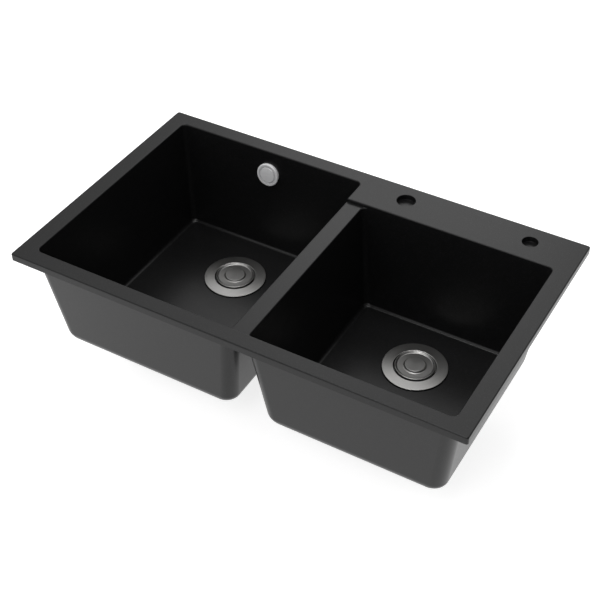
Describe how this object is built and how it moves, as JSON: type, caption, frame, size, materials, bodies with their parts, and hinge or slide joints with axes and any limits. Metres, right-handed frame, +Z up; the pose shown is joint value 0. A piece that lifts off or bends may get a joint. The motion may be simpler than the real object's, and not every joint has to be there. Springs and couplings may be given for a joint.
{
  "type": "double bowl kitchen sink",
  "caption": "Inset kitchen sink with a large and a smaller bowl, a tap deck behind the smaller one, lift-out basket strainers, wastes and a hose-fed overflow.",
  "frame": {"origin": "centre of the worktop cut-out, on the plane where the underside of the rim lies on the worktop", "axes": "+Z up, +Y towards the wall behind the sink, +X to the right of a person who stands in front of it"},
  "size_m": [0.82, 0.49, 0.2872],
  "materials": {
    "composite": "satin black quartz composite with a fine grain",
    "brushed_steel": "brushed in rings",
    "bright_steel": "polished",
    "plated_steel": "zinc plated",
    "black_plastic": "moulded polypropylene",
    "white_seal": "matt foam",
    "black_seal": "matt"
  },
  "bodies": {
    "sink": {"sink_body": "composite", "strainer_bowl_left": "brushed_steel", "flange_seal_left": "white_seal", "body_gasket_left": "black_seal", "waste_body_left": "black_plastic", "centre_screw_left": "plated_steel", "strainer_bowl_right": "brushed_steel", "flange_seal_right": "white_seal", "body_gasket_right": "black_seal", "waste_body_right": "black_plastic", "centre_screw_right": "plated_steel", "overflow_cover": "bright_steel", "overflow_spider": "black_plastic", "overflow_screw": "plated_steel", "overflow_seal": "black_seal", "overflow_elbow": "black_plastic", "overflow_hose": "black_plastic", "hose_nut_upper": "black_plastic", "hose_nut_lower": "black_plastic"},
    "basket_left": {"basket_left": "bright_steel", "basket_stem_left": "bright_steel", "basket_plug_left": "black_seal", "basket_lid_left": "brushed_steel", "lid_knob_left": "brushed_steel"},
    "basket_right": {"basket_right": "bright_steel", "basket_stem_right": "bright_steel", "basket_plug_right": "black_seal", "basket_lid_right": "brushed_steel", "lid_knob_right": "brushed_steel"}
  },
  "joints": [
    {"name": "basket_left_lift", "type": "slide", "parent": "sink", "child": "basket_left", "axis": [0, 0, 1], "range_m": [-0.005, 0.25]},
    {"name": "basket_right_lift", "type": "slide", "parent": "sink", "child": "basket_right", "axis": [0, 0, 1], "range_m": [-0.005, 0.25]}
  ]
}
